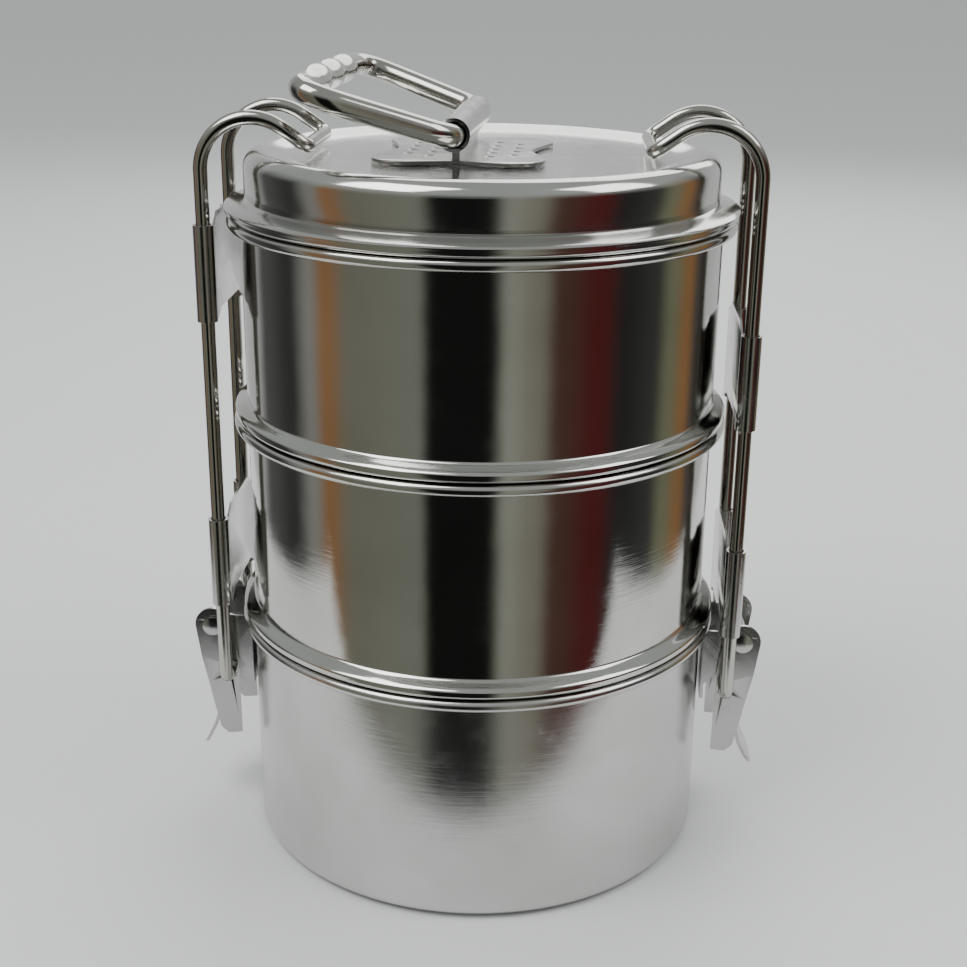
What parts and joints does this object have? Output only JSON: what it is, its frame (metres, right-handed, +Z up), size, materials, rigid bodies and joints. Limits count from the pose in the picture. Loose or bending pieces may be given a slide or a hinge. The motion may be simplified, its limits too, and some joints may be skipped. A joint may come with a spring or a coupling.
{
  "type": "tiffin carrier",
  "caption": "Stacked round steel food bowls under a low lid with a folding wire bail handle, held by a lever-tightened hooked wire clamp on each side.",
  "frame": {"origin": "centre of the base on the surface it stands on", "axes": "+Z up; the clamps are at +X and -X; the bail rests leaning towards -X"},
  "size_m": [0.17, 0.1406, 0.2234],
  "materials": {
    "satin_steel": "satin stainless steel",
    "polished_steel": "polished stainless steel with fine polishing lines",
    "lid_steel": "polished wall, satin top",
    "pressed_steel": "pressed stainless steel, lightly scuffed",
    "wire_steel": "bright drawn stainless wire"
  },
  "bodies": {
    "base": {"bottom_bowl": "satin_steel", "right_base_bracket": "pressed_steel", "right_lever_pin": "pressed_steel", "left_base_bracket": "pressed_steel", "left_lever_pin": "pressed_steel"},
    "middle_tier": {"middle_bowl": "polished_steel"},
    "top_tier": {"top_bowl": "polished_steel"},
    "lid_body": {"lid": "lid_steel", "handle_saddle": "pressed_steel"},
    "bail": {"bail_handle": "wire_steel"},
    "right_lever_body": {"right_lever": "pressed_steel"},
    "right_wire_body": {"right_clamp_wire": "wire_steel"},
    "right_upper_plate": {"right_upper_sleeve_plate": "pressed_steel"},
    "right_lower_plate": {"right_lower_sleeve_plate": "pressed_steel"},
    "left_lever_body": {"left_lever": "pressed_steel"},
    "left_wire_body": {"left_clamp_wire": "wire_steel"},
    "left_upper_plate": {"left_upper_sleeve_plate": "pressed_steel"},
    "left_lower_plate": {"left_lower_sleeve_plate": "pressed_steel"}
  },
  "joints": [
    {"name": "right_lever_pivot", "type": "hinge", "parent": "base", "child": "right_lever_body", "pos_m": [0.0786, 0, 0.0605], "axis": [0, -1, 0], "range_deg": [0, 70.1]},
    {"name": "right_wire_pivot", "type": "hinge", "parent": "right_lever_body", "child": "right_wire_body", "pos_m": [0.0742, 0, 0.0452], "axis": [0, 1, 0], "range_deg": [0, 145.2]},
    {"name": "left_lever_pivot", "type": "hinge", "parent": "base", "child": "left_lever_body", "pos_m": [-0.0786, 0, 0.0605], "axis": [0, 1, 0], "range_deg": [0, 70.1]},
    {"name": "left_wire_pivot", "type": "hinge", "parent": "left_lever_body", "child": "left_wire_body", "pos_m": [-0.0742, 0, 0.0452], "axis": [0, -1, 0], "range_deg": [0, 145.2]},
    {"name": "middle_bowl_lift", "type": "slide", "parent": "base", "child": "middle_tier", "axis": [0, 0, 1], "range_m": [0, 0.00535]},
    {"name": "top_bowl_lift", "type": "slide", "parent": "base", "child": "top_tier", "axis": [0, 0, 1], "range_m": [0, 0.0107]},
    {"name": "lid_lift", "type": "slide", "parent": "base", "child": "lid_body", "axis": [0, 0, 1], "range_m": [0, 0.016]},
    {"name": "bail_pivot", "type": "hinge", "parent": "lid_body", "child": "bail", "pos_m": [-0.0047, 0, 0.2073], "axis": [0.0366, 0.9993, 0], "range_deg": [-14, 158]},
    {"name": "left_upper_plate_slide", "type": "slide", "parent": "left_wire_body", "child": "left_upper_plate", "axis": [0, 0, 1], "range_m": [-0.025, 0.01]},
    {"name": "left_lower_plate_slide", "type": "slide", "parent": "left_wire_body", "child": "left_lower_plate", "axis": [0, 0, 1], "range_m": [0, 0.025]},
    {"name": "right_upper_plate_slide", "type": "slide", "parent": "right_wire_body", "child": "right_upper_plate", "axis": [0, 0, 1], "range_m": [-0.01, 0.03]},
    {"name": "right_lower_plate_slide", "type": "slide", "parent": "right_wire_body", "child": "right_lower_plate", "axis": [0, 0, 1], "range_m": [0, 0.02]}
  ],
  "couplings": [
    {"joint": "right_wire_pivot", "follows": "lid_lift", "rad_per_m": 158.17},
    {"joint": "right_lever_pivot", "follows": "lid_lift", "rad_per_m": 76.357},
    {"joint": "left_wire_pivot", "follows": "lid_lift", "rad_per_m": 158.17},
    {"joint": "left_lever_pivot", "follows": "lid_lift", "rad_per_m": 76.357},
    {"joint": "top_bowl_lift", "follows": "lid_lift", "ratio": 0.66667},
    {"joint": "middle_bowl_lift", "follows": "lid_lift", "ratio": 0.33333}
  ]
}
